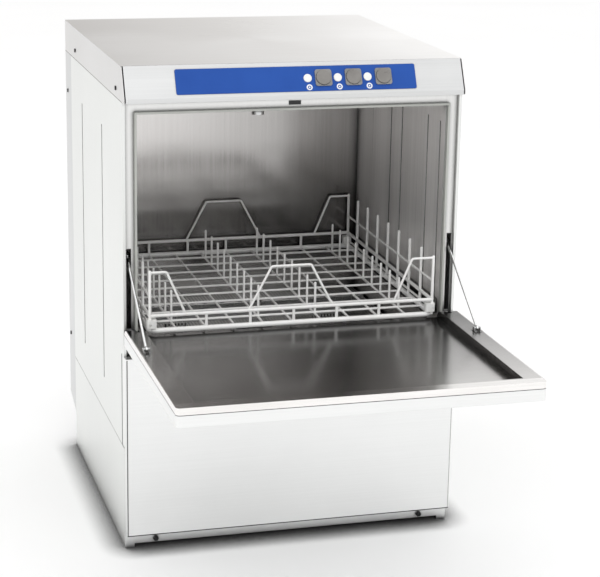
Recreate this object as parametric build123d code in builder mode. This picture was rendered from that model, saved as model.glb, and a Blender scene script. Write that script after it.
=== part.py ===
"""A front-loading undercounter commercial dishwasher, in millimetres.

The door is open and level, and the rack is pushed into the wash chamber. X runs to the right, Y to the
back and Z up, and the origin is on the floor under the middle of the closed cabinet.
"""

from build123d import *
from math import cos, radians, sin
import os

# Driving dimensions of the cabinet
WIDTH = 575
HEIGHT = 820
DEPTH = 605
SHEET = 1.2
PANEL_PROUD = 16.5
LID_SKIRT = 57
BASE_SETBACK = 66.5
SEAM_HEIGHT = 179
LOWER_PANEL_TOP = 340
PANEL_BOTTOM = 26.5

# The opening of the wash chamber
OPENING_WIDTH = 526
OPENING_BOTTOM = 357
OPENING_TOP = 742
FLANGE_RECESS = 8
CHAMBER_DEPTH = 492
CEILING_HEIGHT = 755

# The door, by distances from its hinge axis
PIVOT_FORWARD = 22
PIVOT_HEIGHT = 369
DOOR_PAST_PIVOT = 19
DOOR_REACH = 393
SKIN_BELOW = 9
LINER_ABOVE = 21.4
SEAM_ABOVE = 10
RIM_WIDTH = 31
RIM_FRONT = 23
LINER_FLOOR = 7.4
SWING_RADIUS = 21

# The rack
RACK_SIZE = 500
RACK_TOP = 487
RACK_LIFT = 3
RACK_SLACK = 0.6
RING_WIRE = 9
FRAME_WIRE = 6
POST_WIRE = 5
THIN_WIRE = 4

# Positions that follow from them
HALF = WIDTH / 2
BACK = DEPTH / 2
PANEL_FACE = -DEPTH / 2
FRONT = PANEL_FACE + PANEL_PROUD
BASE_BACK = BACK - BASE_SETBACK
LID_EDGE = HEIGHT - LID_SKIRT
INSIDE = HALF - SHEET
OPENING_HALF = OPENING_WIDTH / 2
FLANGE_Y = FRONT + FLANGE_RECESS
CHAMBER_BACK = FRONT + CHAMBER_DEPTH
PIVOT_Y = FRONT - PIVOT_FORWARD
DOOR_REAR = PIVOT_Y + DOOR_PAST_PIVOT
DOOR_FRONT = PIVOT_Y - DOOR_REACH
DOOR_BOTTOM = PIVOT_HEIGHT - SKIN_BELOW
DOOR_SEAM = PIVOT_HEIGHT + SEAM_ABOVE
DOOR_TOP = PIVOT_HEIGHT + LINER_ABOVE
FLOOR_TOP = PIVOT_HEIGHT + LINER_FLOOR
RACK_FRONT = FRONT - 12
RACK_BACK = RACK_FRONT + RACK_SIZE
RACK_BOTTOM = FLOOR_TOP + RACK_LIFT
RAIL_TOP = RACK_BOTTOM - RACK_SLACK
ARM_CENTRE_Y = (FLANGE_Y + CHAMBER_BACK) / 2

SIDES = {"left": -1, "right": 1}


def block(low, high, mode=Mode.ADD):
    """A block between two opposite corners, added to the part being built."""
    size = [b - a for a, b in zip(low, high)]
    middle = [(a + b) / 2 for a, b in zip(low, high)]
    with Locations(tuple(middle)):
        Box(*size, mode=mode)


def side_block(side, x_range, y_range, z_range, mode=Mode.ADD):
    """A block whose X range is measured from the middle towards one side."""
    xs = sorted(side * x for x in x_range)
    block((xs[0], y_range[0], z_range[0]), (xs[1], y_range[1], z_range[1]), mode)


def bar(start, end, diameter):
    """A round bar between two points."""
    run = Vector(*end) - Vector(*start)
    return Solid.make_cylinder(diameter / 2, run.length, Plane(origin=start, z_dir=run))


def peg(start, end, diameter):
    """A round bar with its far end rounded off."""
    wire = bar(start, end, diameter)
    tip = min(wire.edges().filter_by(GeomType.CIRCLE), key=lambda e: (e.arc_center - Vector(*end)).length)
    return wire.fillet(0.45 * diameter, [tip])


def bent_wire(points, diameter, bend, close=False):
    """A round wire along a path, with an arc at each bend."""
    path = FilletPolyline(*points, radius=bend, close=close)
    section = Plane(origin=path @ 0, z_dir=path % 0) * Circle(diameter / 2)
    return sweep(section, path)


def sheets(*corners):
    """Flat sheets that meet at welded edges, each a block between two opposite corners."""
    blocks = []
    for low, high in corners:
        with BuildPart() as sheet:
            block(low, high)
        blocks.append(sheet.part.solid())
    return blocks


def save(name, part):
    """Labels a piece and writes its file."""
    part.label = name
    export_step(part, f"parts/{name}.step")


os.makedirs("parts", exist_ok=True)

# ---- base -------------------------------------------------------------------------------------------

BOLT_X = (-235, 237)
BOLT_Z = 14
BOLT_HOLE = 7
BASE_WEB_HEIGHT = 25
BASE_FLANGE = 30
BASE_SHEET = 2
FOOT_TAB = 16
FRONT_RELIEF = 7
PAN_SLOTS = 4
PAN_SLOT_PITCH = 90
PAN_SLOT_Y = -200
PAN_SLOT_SIZE = (60, 8)
BOLT_HEAD_RADIUS = 5
BOLT_HEAD_HEIGHT = 4
BOLT_SHANK = 3
FIT = 0.05
SKIRT_FOLD = 20
SKIRT_FOLD_LOW = BASE_WEB_HEIGHT + 2

with BuildPart() as base_frame:
    """An angle-section ring that the machine stands on, relieved under its front."""
    outer = (HALF - SHEET, FRONT + SHEET, BASE_BACK - SHEET)
    block((-outer[0], outer[1], 0), (outer[0], outer[2], BASE_WEB_HEIGHT))
    block(
        (-outer[0] + BASE_SHEET, outer[1] + BASE_SHEET, BASE_SHEET),
        (outer[0] - BASE_SHEET, outer[2] - BASE_SHEET, BASE_WEB_HEIGHT),
        Mode.SUBTRACT,
    )
    block(
        (-outer[0] + BASE_FLANGE, outer[1] + BASE_FLANGE, 0),
        (outer[0] - BASE_FLANGE, outer[2] - BASE_FLANGE, BASE_SHEET),
        Mode.SUBTRACT,
    )
    block(
        (-HALF + FOOT_TAB, outer[1], 0),
        (HALF - FOOT_TAB, outer[1] + BASE_FLANGE, FRONT_RELIEF),
        Mode.SUBTRACT,
    )
    for x in BOLT_X:
        with Locations(Location((x, FRONT, BOLT_Z), (90, 0, 0))):
            Cylinder(BOLT_HOLE / 2, 8 * SHEET, mode=Mode.SUBTRACT)
save("base_frame", base_frame.part)

with BuildPart() as base_pan:
    block(
        (-INSIDE, FRONT + SHEET, BASE_WEB_HEIGHT),
        (INSIDE, BASE_BACK - SHEET, BASE_WEB_HEIGHT + SHEET),
    )
    with GridLocations(PAN_SLOT_PITCH, 0, PAN_SLOTS, 1):
        with Locations((0, PAN_SLOT_Y, BASE_WEB_HEIGHT)):
            Box(*PAN_SLOT_SIZE, 4 * SHEET, mode=Mode.SUBTRACT)
save("base_pan", base_pan.part)

with BuildPart() as plinth_front:
    block((-HALF, FRONT, 0), (HALF, FRONT + SHEET, PANEL_BOTTOM))
    block(
        (-HALF + FOOT_TAB, FRONT, 0), (HALF - FOOT_TAB, FRONT + SHEET, FRONT_RELIEF), Mode.SUBTRACT
    )
    for x in BOLT_X:
        with Locations(Location((x, FRONT, BOLT_Z), (90, 0, 0))):
            Cylinder(BOLT_HOLE / 2, 4 * SHEET, mode=Mode.SUBTRACT)
save("plinth_front", plinth_front.part)

with BuildPart() as plinth_bolts:
    for x in BOLT_X:
        with BuildSketch(Plane.XZ.offset(-FRONT)):
            with Locations((x, BOLT_Z)):
                RegularPolygon(BOLT_HEAD_RADIUS, 6)
        extrude(amount=BOLT_HEAD_HEIGHT)
        with BuildSketch(Plane.XZ.offset(-FRONT)):
            with Locations((x, BOLT_Z)):
                Circle(BOLT_HOLE / 2 - FIT)
        extrude(amount=-BOLT_SHANK)
save("plinth_bolts", plinth_bolts.part)


def base_skirt(side):
    """The lower side sheet, folded in at its front and back edges."""
    with BuildPart() as skirt:
        side_block(side, (INSIDE, HALF), (FRONT + SHEET, BASE_BACK), (0, SEAM_HEIGHT))
        side_block(
            side,
            (INSIDE - SKIRT_FOLD, INSIDE),
            (FRONT + SHEET, FRONT + 2 * SHEET),
            (SKIRT_FOLD_LOW, SEAM_HEIGHT),
        )
        side_block(
            side,
            (INSIDE - SKIRT_FOLD, INSIDE),
            (BASE_BACK - 2 * SHEET, BASE_BACK - SHEET),
            (SKIRT_FOLD_LOW, SEAM_HEIGHT),
        )
    return skirt.part


for name, side in SIDES.items():
    save(f"base_skirt_{name}", base_skirt(side))

SERVICE_Z = 42
INLET_X = 190
DRAIN_X = 110
CABLE_X = -190
INLET_THREAD = 26.4
DRAIN_TAIL = 27.9
DRAIN_PIPE = 23
DRAIN_COLLAR = 4
DRAIN_TAIL_LENGTH = 30
GLAND_BORE = 20.4

with BuildPart() as base_skirt_rear:
    block((-INSIDE, BASE_BACK - SHEET, 0), (INSIDE, BASE_BACK, SEAM_HEIGHT))
    for x, bore in (
        (INLET_X, INLET_THREAD),
        (DRAIN_X, DRAIN_PIPE + 0.6),
        (CABLE_X, GLAND_BORE),
    ):
        with Locations(Location((x, BASE_BACK, SERVICE_Z), (90, 0, 0))):
            Cylinder(bore / 2, 4 * SHEET, mode=Mode.SUBTRACT)
save("base_skirt_rear", base_skirt_rear.part)

# ---- outer panels -----------------------------------------------------------------------------------

FRONT_NOTCH = 20
HEM_WIDTH = 4.5
RIB_Y = (FRONT + 194, FRONT + 400)
RIB_Z = (242, 695)
RIB_WIDTH = 9
RIB_DEPTH = 2.4


def side_panel(side):
    """The upper side sheet, with a folded front edge, a step at the lower front and two pressed ribs."""
    with BuildPart() as panel:
        side_block(side, (INSIDE, HALF), (FRONT, BASE_BACK), (SEAM_HEIGHT, LID_EDGE))
        side_block(side, (HALF - HEM_WIDTH, INSIDE), (FRONT, FLANGE_Y), (LOWER_PANEL_TOP, LID_EDGE))
        side_block(
            side,
            (INSIDE - 1, HALF + 1),
            (FRONT - 1, FRONT + FRONT_NOTCH),
            (SEAM_HEIGHT, LOWER_PANEL_TOP),
            Mode.SUBTRACT,
        )
        for y in RIB_Y:
            side_block(
                side,
                (INSIDE - RIB_DEPTH, INSIDE),
                (y - RIB_WIDTH / 2, y + RIB_WIDTH / 2),
                RIB_Z,
            )
            side_block(
                side,
                (HALF - RIB_DEPTH, HALF),
                (y - RIB_WIDTH / 2 + SHEET, y + RIB_WIDTH / 2 - SHEET),
                (RIB_Z[0] + SHEET, RIB_Z[1] - SHEET),
                Mode.SUBTRACT,
            )
    return panel.part


for name, side in SIDES.items():
    save(f"side_panel_{name}", side_panel(side))

COVER_LOW = 68
COVER_LOW_BACK = 90
VENT_COLUMNS = 4
VENT_ROWS = 6
VENT_PITCH = (85, 16)
VENT_TOP = 640
VENT_SIZE = (60, 4 * SHEET, 5)

with BuildPart() as rear_cover:
    """The box over the back of the cabinet, with a sloping lower end."""
    with BuildSketch(Plane.YZ.offset(-HALF)):
        with BuildLine():
            Polyline(
                (BASE_BACK, COVER_LOW),
                (BACK, COVER_LOW_BACK),
                (BACK, LID_EDGE),
                (BASE_BACK, LID_EDGE),
                close=True,
            )
        make_face()
    extrude(amount=WIDTH)
    with BuildSketch(Plane.YZ.offset(-INSIDE)):
        with BuildLine():
            Polyline(
                (BASE_BACK - 1, COVER_LOW + SHEET),
                (BACK - SHEET, COVER_LOW_BACK + SHEET),
                (BACK - SHEET, LID_EDGE + 1),
                (BASE_BACK - 1, LID_EDGE + 1),
                close=True,
            )
        make_face()
    extrude(amount=2 * INSIDE, mode=Mode.SUBTRACT)
    for column in range(VENT_COLUMNS):
        for row in range(VENT_ROWS):
            x = (column - (VENT_COLUMNS - 1) / 2) * VENT_PITCH[0]
            with Locations((x, BACK, VENT_TOP - row * VENT_PITCH[1])):
                Box(*VENT_SIZE, mode=Mode.SUBTRACT)
save("rear_cover", rear_cover.part)

PANEL_LEAN = 24.5
PANEL_HEM = 8
PANEL_GAP = 2
PANEL_HALF = INSIDE - PANEL_GAP
PANEL_RETURN = 6
LEAN_TOP = (PANEL_FACE + PANEL_LEAN, HEIGHT)
LEAN_BOTTOM = (PANEL_FACE, LID_EDGE + PANEL_HEM)

LID_UNDER = HEIGHT - SHEET


def face_y(z):
    """Where the control panel's face is at a height."""
    lean = (z - LEAN_BOTTOM[1]) / (HEIGHT - LEAN_BOTTOM[1])
    return PANEL_FACE + PANEL_LEAN * max(lean, 0)


def lid_skirt(side):
    """A side skirt of the lid, whose leaning front edge lies level with the control panel's face."""
    x_low = min(side * INSIDE, side * HALF)
    with BuildPart() as skirt:
        with BuildSketch(Plane.YZ.offset(x_low)):
            with BuildLine():
                Polyline(
                    (face_y(LID_UNDER), LID_UNDER),
                    LEAN_BOTTOM,
                    (PANEL_FACE, LID_EDGE),
                    (BACK, LID_EDGE),
                    (BACK, LID_UNDER),
                    close=True,
                )
            make_face()
        extrude(amount=SHEET)
    return skirt.part.solid()


lid_sheets = sheets(
    ((-HALF, LEAN_TOP[0] + PANEL_GAP + SHEET, LID_UNDER), (HALF, BACK, HEIGHT)),
    ((-INSIDE, BACK - SHEET, LID_EDGE), (INSIDE, BACK, LID_UNDER)),
)
save("top_cover", Compound(lid_sheets + [lid_skirt(side) for side in SIDES.values()]))

# The leaning face has its own plane: X across, Y up the slope, measured from the rolled edge.
LEAN_RISE = LEAN_TOP[1] - LEAN_BOTTOM[1]
LEAN_RUN = LEAN_TOP[0] - LEAN_BOTTOM[0]
FACE_PLANE = Plane(
    origin=(0, LEAN_BOTTOM[0], LEAN_BOTTOM[1]), x_dir=(1, 0, 0), z_dir=(0, -LEAN_RISE, LEAN_RUN)
)
FACE_NORMAL = Axis(FACE_PLANE.origin, FACE_PLANE.z_dir)
FASCIA_X = (-202, 202)
FASCIA_V = (5, 47.5)
FASCIA_CORNER = 3
BUTTON_X = (43.5, 94.5, 146)
LAMP_X = (17, 68, 119)
BUTTON_V = 27
SYMBOL_V = 11.5
BEZEL_SIZE = 28
BEZEL_CORNER = 4
BUTTON_DIAMETER = 25
LAMP_DIAMETER = 14
SYMBOL_DIAMETER = 10
SYMBOL_OFFSET = 1.7
SYMBOL_THICK = 0.3
FASCIA_THICK = 0.8
BEZEL_THICK = 3
BUTTON_PROUD = 5.5
BUTTON_TRAVEL = 2.5
BUTTON_REST = BUTTON_TRAVEL + 0.3
STEM_DIAMETER = 6
STEM_PLAY = 0.5
STEM_END = -SHEET
BUTTON_PLAY = 0.4
BUTTON_ROUND = 1
LAMP_PROUD = 2.4
LAMP_ROUND = 1.2
SWITCH_SIZE = 24
SWITCH_DEPTH = 18
SWITCH_GAP = 0.5

with BuildPart() as control_panel:
    """The leaning front sheet between the lid's skirts, folded back along its lower edge."""
    with BuildSketch(Plane.YZ.offset(-PANEL_HALF)):
        with BuildLine():
            Polyline(
                LEAN_TOP,
                LEAN_BOTTOM,
                (PANEL_FACE, LID_EDGE),
                (FRONT + PANEL_RETURN, LID_EDGE),
                (FRONT + PANEL_RETURN, LID_EDGE + SHEET),
                (PANEL_FACE + SHEET, LID_EDGE + SHEET),
                (LEAN_BOTTOM[0] + SHEET, LEAN_BOTTOM[1]),
                (LEAN_TOP[0] + SHEET, HEIGHT),
                close=True,
            )
        make_face()
    extrude(amount=2 * PANEL_HALF)
    with BuildSketch(FACE_PLANE.offset(1)):
        with Locations(*[(x, BUTTON_V) for x in BUTTON_X]):
            Circle(STEM_DIAMETER / 2 + STEM_PLAY)
    extrude(amount=-4 * SHEET, mode=Mode.SUBTRACT)
save("control_panel", control_panel.part)

with BuildPart() as fascia_overlay:
    """The coloured film on the leaning face, with holes for the buttons and lamps."""
    with BuildSketch(FACE_PLANE):
        with Locations(((FASCIA_X[0] + FASCIA_X[1]) / 2, (FASCIA_V[0] + FASCIA_V[1]) / 2)):
            RectangleRounded(FASCIA_X[1] - FASCIA_X[0], FASCIA_V[1] - FASCIA_V[0], FASCIA_CORNER)
        with Locations(*[(x, BUTTON_V) for x in BUTTON_X]):
            RectangleRounded(BEZEL_SIZE, BEZEL_SIZE, BEZEL_CORNER, mode=Mode.SUBTRACT)
        with Locations(*[(x, BUTTON_V) for x in LAMP_X]):
            Circle(LAMP_DIAMETER / 2, mode=Mode.SUBTRACT)
    extrude(amount=FASCIA_THICK)
save("fascia_overlay", fascia_overlay.part)

with BuildPart() as button_bezels:
    """A square rim round each push button."""
    with BuildSketch(FACE_PLANE):
        with Locations(*[(x, BUTTON_V) for x in BUTTON_X]):
            RectangleRounded(BEZEL_SIZE, BEZEL_SIZE, BEZEL_CORNER)
            Circle(BUTTON_DIAMETER / 2 + BUTTON_PLAY, mode=Mode.SUBTRACT)
    extrude(amount=BEZEL_THICK)
save("button_bezels", button_bezels.part)

with BuildPart() as pilot_lamps:
    with BuildSketch(FACE_PLANE):
        with Locations(*[(x, BUTTON_V) for x in LAMP_X]):
            Circle(LAMP_DIAMETER / 2)
    extrude(amount=LAMP_PROUD)
    fillet(pilot_lamps.faces().sort_by(FACE_NORMAL)[-len(LAMP_X) :].edges(), LAMP_ROUND)
save("pilot_lamps", pilot_lamps.part)

with BuildPart() as symbol_discs:
    with BuildSketch(FACE_PLANE.offset(FASCIA_THICK)):
        with Locations(*[(x + SYMBOL_OFFSET, SYMBOL_V) for x in LAMP_X]):
            Circle(SYMBOL_DIAMETER / 2)
    extrude(amount=SYMBOL_THICK)
save("symbol_discs", symbol_discs.part)


def push_button(x):
    """A round push button on a stem that goes through the panel."""
    with BuildPart() as button:
        with BuildSketch(FACE_PLANE.offset(BUTTON_REST)):
            with Locations((x, BUTTON_V)):
                Circle(BUTTON_DIAMETER / 2)
        extrude(amount=BUTTON_PROUD - BUTTON_REST)
        fillet(button.faces().sort_by(FACE_NORMAL)[-1].edges(), BUTTON_ROUND)
        with BuildSketch(FACE_PLANE.offset(STEM_END)):
            with Locations((x, BUTTON_V)):
                Circle(STEM_DIAMETER / 2)
        extrude(amount=BUTTON_REST - STEM_END)
    return button.part


for number, x in enumerate(BUTTON_X, start=1):
    save(f"push_button_{number}", push_button(x))

with BuildPart() as switch_blocks:
    """The switch body behind each button."""
    with BuildSketch(FACE_PLANE.offset(STEM_END - BUTTON_TRAVEL - SWITCH_GAP)):
        with Locations(*[(x, BUTTON_V) for x in BUTTON_X]):
            Rectangle(SWITCH_SIZE, SWITCH_SIZE)
    extrude(amount=-SWITCH_DEPTH)
save("switch_blocks", switch_blocks.part)

with BuildPart() as lower_front_panel:
    """A folded pan under the door."""
    block((-HALF, PANEL_FACE, PANEL_BOTTOM), (HALF, FRONT, LOWER_PANEL_TOP))
    block(
        (-INSIDE, PANEL_FACE + SHEET, PANEL_BOTTOM + SHEET),
        (INSIDE, FRONT, LOWER_PANEL_TOP - SHEET),
        Mode.SUBTRACT,
    )
    for side in SIDES.values():
        side_block(
            side,
            (INSIDE, HALF),
            (FRONT, FRONT + FRONT_NOTCH - 2),
            (SEAM_HEIGHT + 2, LOWER_PANEL_TOP),
        )
    fillet(lower_front_panel.edges().filter_by(Axis.Z).group_by(Axis.Y)[0], 1)
save("lower_front_panel", lower_front_panel.part)

# ---- front frame of the chamber ---------------------------------------------------------------------

SLOT_X = (273, 281)
SLOT_Z = (385, 521)
SILL_BOTTOM = 300
FLANGE_RETURN = 15
HEADER_RETURN = 14
CATCH_SLOT = (21, 7)
CATCH_Z = 754
CATCH_PLAY = 0.5
CATCH_DEPTH = 12


def front_flange(side):
    """The upright strip beside the opening, slotted for the stay rod."""
    with BuildPart() as flange:
        rise = (OPENING_BOTTOM, LID_EDGE)
        side_block(side, (OPENING_HALF, INSIDE), (FLANGE_Y, FLANGE_Y + SHEET), rise)
        side_block(side, (INSIDE - SHEET, INSIDE), (FLANGE_Y, FLANGE_Y + FLANGE_RETURN), rise)
        side_block(side, SLOT_X, (FLANGE_Y - 1, FLANGE_Y + 3), SLOT_Z, Mode.SUBTRACT)
    return flange.part


for name, side in SIDES.items():
    save(f"front_flange_{name}", front_flange(side))

with BuildPart() as front_header:
    """The rail over the opening, with the slot of the door switch."""
    block((-OPENING_HALF, FLANGE_Y, OPENING_TOP), (OPENING_HALF, FLANGE_Y + SHEET, LID_EDGE))
    block(
        (-OPENING_HALF, FLANGE_Y, OPENING_TOP),
        (OPENING_HALF, FLANGE_Y + HEADER_RETURN, OPENING_TOP + SHEET),
    )
    block(
        (-CATCH_SLOT[0] / 2, FLANGE_Y - 1, CATCH_Z - CATCH_SLOT[1] / 2),
        (CATCH_SLOT[0] / 2, FLANGE_Y + 2 * SHEET, CATCH_Z + CATCH_SLOT[1] / 2),
        Mode.SUBTRACT,
    )
save("front_header", front_header.part)

with BuildPart() as door_switch:
    block(
        (CATCH_PLAY - CATCH_SLOT[0] / 2, FLANGE_Y, CATCH_Z - CATCH_SLOT[1] / 2 + CATCH_PLAY),
        (CATCH_SLOT[0] / 2 - CATCH_PLAY, FLANGE_Y + CATCH_DEPTH, CATCH_Z + CATCH_SLOT[1] / 2 - CATCH_PLAY),
    )
save("door_switch", door_switch.part)

with BuildPart() as front_sill:
    """The cross sheet under the opening."""
    block((-INSIDE, FLANGE_Y, SILL_BOTTOM), (INSIDE, FLANGE_Y + SHEET, OPENING_BOTTOM))
save("front_sill", front_sill.part)

# ---- wash chamber -----------------------------------------------------------------------------------

WALL_OUT = OPENING_HALF + SHEET
TANK_FLOOR = 240
SUMP_FLOOR = 195
SUMP_HALF = 60
SUMP_Y = ARM_CENTRE_Y
TANK_FRONT = FLANGE_Y + SHEET
SWAGE_Y = (FRONT + 32, FRONT + 94, FRONT + 230, FRONT + 291)
SWAGE_Z = (OPENING_BOTTOM + 40, OPENING_TOP - 30)
SWAGE_HALF = 4
SWAGE_DEPTH = 1.5


def chamber_wall(side):
    """A side wall with pressed upright swages."""
    with BuildPart() as wall:
        side_block(
            side,
            (OPENING_HALF, WALL_OUT),
            (TANK_FRONT, CHAMBER_BACK + SHEET),
            (OPENING_BOTTOM, CEILING_HEIGHT),
        )
        for y in SWAGE_Y:
            side_block(side, (WALL_OUT, WALL_OUT + SWAGE_DEPTH), (y - SWAGE_HALF, y + SWAGE_HALF), SWAGE_Z)
            side_block(
                side,
                (OPENING_HALF, OPENING_HALF + SWAGE_DEPTH),
                (y - SWAGE_HALF + SHEET, y + SWAGE_HALF - SHEET),
                (SWAGE_Z[0] + SHEET, SWAGE_Z[1] - SHEET),
                Mode.SUBTRACT,
            )
    return wall.part


for name, side in SIDES.items():
    save(f"chamber_wall_{name}", chamber_wall(side))

with BuildPart() as chamber_back:
    block(
        (-OPENING_HALF, CHAMBER_BACK, OPENING_BOTTOM),
        (OPENING_HALF, CHAMBER_BACK + SHEET, CEILING_HEIGHT),
    )
save("chamber_back", chamber_back.part)

with BuildPart() as chamber_ceiling:
    """The top sheet of the chamber, notched round the door switch."""
    block(
        (-WALL_OUT, FLANGE_Y + SHEET, CEILING_HEIGHT),
        (WALL_OUT, CHAMBER_BACK + SHEET, CEILING_HEIGHT + SHEET),
    )
    block(
        (-CATCH_SLOT[0] / 2, FLANGE_Y, CEILING_HEIGHT - SHEET),
        (CATCH_SLOT[0] / 2, FLANGE_Y + CATCH_DEPTH + CATCH_PLAY, CEILING_HEIGHT + 2 * SHEET),
        Mode.SUBTRACT,
    )
save("chamber_ceiling", chamber_ceiling.part)


def open_box(low, high, thickness):
    """The four upright sheets of a box, measured outside."""
    return (
        ((low[0], low[1], low[2]), (low[0] + thickness, high[1], high[2])),
        ((high[0] - thickness, low[1], low[2]), (high[0], high[1], high[2])),
        ((low[0] + thickness, low[1], low[2]), (high[0] - thickness, low[1] + thickness, high[2])),
        ((low[0] + thickness, high[1] - thickness, low[2]), (high[0] - thickness, high[1], high[2])),
    )


def holed_floor(low, high, hole_low, hole_high, z_range):
    """Four flat sheets round a rectangular hole."""
    return (
        ((low[0], low[1], z_range[0]), (high[0], hole_low[1], z_range[1])),
        ((low[0], hole_high[1], z_range[0]), (high[0], high[1], z_range[1])),
        ((low[0], hole_low[1], z_range[0]), (hole_low[0], hole_high[1], z_range[1])),
        ((hole_high[0], hole_low[1], z_range[0]), (high[0], hole_high[1], z_range[1])),
    )


# An open tank under the chamber, with a square sump in its floor.
tank_low = (-WALL_OUT, TANK_FRONT, TANK_FLOOR)
tank_high = (WALL_OUT, CHAMBER_BACK + SHEET, OPENING_BOTTOM)
sump_low = (-SUMP_HALF, SUMP_Y - SUMP_HALF, SUMP_FLOOR)
sump_high = (SUMP_HALF, SUMP_Y + SUMP_HALF, TANK_FLOOR)
tank_sheets = sheets(
    *open_box((*tank_low[:2], TANK_FLOOR + SHEET), tank_high, SHEET),
    *holed_floor(tank_low, tank_high, sump_low, sump_high, (TANK_FLOOR, TANK_FLOOR + SHEET)),
    *open_box((*sump_low[:2], SUMP_FLOOR + SHEET), (*sump_high[:2], TANK_FLOOR + SHEET), SHEET),
    (sump_low, (*sump_high[:2], SUMP_FLOOR + SHEET)),
)
save("wash_tank", Compound(tank_sheets))

FILTER_Z = 296
FILTER_GAP = 34
FILTER_SPLIT = 0.5
FILTER_SLACK = 4
FILTER_LIP = (5, 8)
LOOP_X = (120, 160)
LOOP_BAR = 4
LOOP_HEIGHT = 10


def tank_filter(side):
    """Half of the flat strainer over the tank, with a square notch, a hanging edge and a finger loop."""
    front, back = TANK_FRONT + FILTER_SLACK, CHAMBER_BACK - FILTER_SLACK
    edge = OPENING_HALF - FILTER_SLACK
    top = FILTER_Z + SHEET
    loop_top = FILTER_Z + LOOP_HEIGHT
    loop_inner = (LOOP_X[0] + LOOP_BAR, LOOP_X[1] - LOOP_BAR)
    loop_y = (-LOOP_BAR, LOOP_BAR)
    pieces = (
        ((FILTER_SPLIT, edge), (front, SUMP_Y - FILTER_GAP), (FILTER_Z, top)),
        ((FILTER_SPLIT, edge), (SUMP_Y + FILTER_GAP, back), (FILTER_Z, top)),
        ((FILTER_GAP, edge), (SUMP_Y - FILTER_GAP, SUMP_Y + FILTER_GAP), (FILTER_Z, top)),
        ((edge - FILTER_LIP[0], edge), (front, back), (FILTER_Z - FILTER_LIP[1], FILTER_Z)),
        ((LOOP_X[0], loop_inner[0]), loop_y, (top, loop_top)),
        ((loop_inner[1], LOOP_X[1]), loop_y, (top, loop_top)),
        (loop_inner, loop_y, (loop_top - LOOP_BAR, loop_top)),
    )
    corners = []
    for xs, ys, zs in pieces:
        low_x, high_x = sorted(side * x for x in xs)
        corners.append(((low_x, ys[0], zs[0]), (high_x, ys[1], zs[1])))
    return sheets(*corners)


save("tank_filters", Compound([sheet for side in SIDES.values() for sheet in tank_filter(side)]))


RAIL_WIDTH = 24
RAIL_SETBACK = (8, 6)


def rack_rail(side):
    """An angle along the chamber wall that the rack slides on."""
    run = (FLANGE_Y + RAIL_SETBACK[0], CHAMBER_BACK - RAIL_SETBACK[1])
    with BuildPart() as rail:
        side_block(side, (OPENING_HALF - RAIL_WIDTH, OPENING_HALF), run, (RAIL_TOP - SHEET, RAIL_TOP))
        side_block(side, (OPENING_HALF - SHEET, OPENING_HALF), run, (RAIL_TOP, RAIL_TOP + RAIL_WIDTH))
    return rail.part


save("rack_rails", Part() + [rack_rail(side) for side in SIDES.values()])

# ---- wash and rinse arms ----------------------------------------------------------------------------

POST_RADIUS = 13
WASH_JOURNAL = 9
RINSE_JOURNAL = 6
NUT_RADIUS = RINSE_JOURNAL + 5
RUNNING_CLEARANCE = 0.05
LOWER_WASH_Z = 322
UPPER_WASH_Z = 728
WASH_HEIGHT = 16
RINSE_HEIGHT = 10
ARM_GAP = 3
NUT_HEIGHT = 6
STEP_GAP = 0.5
JET_RADIUS = 3.5
JET_PROUD = 1
JET_MARGIN = (16, 14)
# Journal radius, hub radius, arm length, width at the hub, width at the tip and jets on each side
WASH_ARM = (WASH_JOURNAL, 24, 215, 40, 26, 5)
RINSE_ARM = (RINSE_JOURNAL, 14, 205, 20, 14, 6)


def arm_post(base_z, wash_z, up):
    """The fixed post that carries one wash arm and one rinse arm. up is 1 for the lower post, else -1."""
    wash_end = wash_z + up * (WASH_HEIGHT + ARM_GAP)
    rinse_end = wash_end + up * (RINSE_HEIGHT + 2 * STEP_GAP)
    with BuildPart() as post:
        for radius, start, end in (
            (POST_RADIUS, base_z, wash_z - up * STEP_GAP),
            (WASH_JOURNAL, wash_z - up * STEP_GAP, wash_end - up * STEP_GAP),
            (RINSE_JOURNAL, wash_end - up * STEP_GAP, rinse_end),
            (NUT_RADIUS, rinse_end, rinse_end + up * NUT_HEIGHT),
        ):
            with Locations((0, ARM_CENTRE_Y, (start + end) / 2)):
                Cylinder(radius, abs(end - start))
    return post.part


def spray_arm(z_start, up, height, shape):
    """A two-ended arm on a hub, tapering to rounded ends, with raised jets that face the rack."""
    journal, hub_radius, length, root_width, tip_width, jets = shape
    low = min(z_start, z_start + up * height)
    jet_pitch = (length - hub_radius - sum(JET_MARGIN)) / (jets - 1)
    with BuildPart() as arm:
        with BuildSketch(Plane.XY.offset(low)):
            with Locations((0, ARM_CENTRE_Y)):
                Circle(hub_radius)
            for side in SIDES.values():
                with BuildLine():
                    Polyline(
                        (0, ARM_CENTRE_Y - root_width / 2),
                        (side * (length - tip_width / 2), ARM_CENTRE_Y - tip_width / 2),
                        (side * (length - tip_width / 2), ARM_CENTRE_Y + tip_width / 2),
                        (0, ARM_CENTRE_Y + root_width / 2),
                        close=True,
                    )
                make_face()
                with Locations((side * (length - tip_width / 2), ARM_CENTRE_Y)):
                    Circle(tip_width / 2)
        extrude(amount=height)
        jet_z = low + height + JET_PROUD / 2 if up > 0 else low - JET_PROUD / 2
        for side in SIDES.values():
            for n in range(jets):
                x = side * (hub_radius + JET_MARGIN[0] + n * jet_pitch)
                with Locations((x, ARM_CENTRE_Y, jet_z)):
                    Cylinder(JET_RADIUS, JET_PROUD)
        with Locations((0, ARM_CENTRE_Y, low + height / 2)):
            Cylinder(journal + RUNNING_CLEARANCE, 4 * height, mode=Mode.SUBTRACT)
    return arm.part


ARM_SETS = (("lower", SUMP_FLOOR + SHEET, LOWER_WASH_Z, 1), ("upper", CEILING_HEIGHT, UPPER_WASH_Z, -1))

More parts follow.
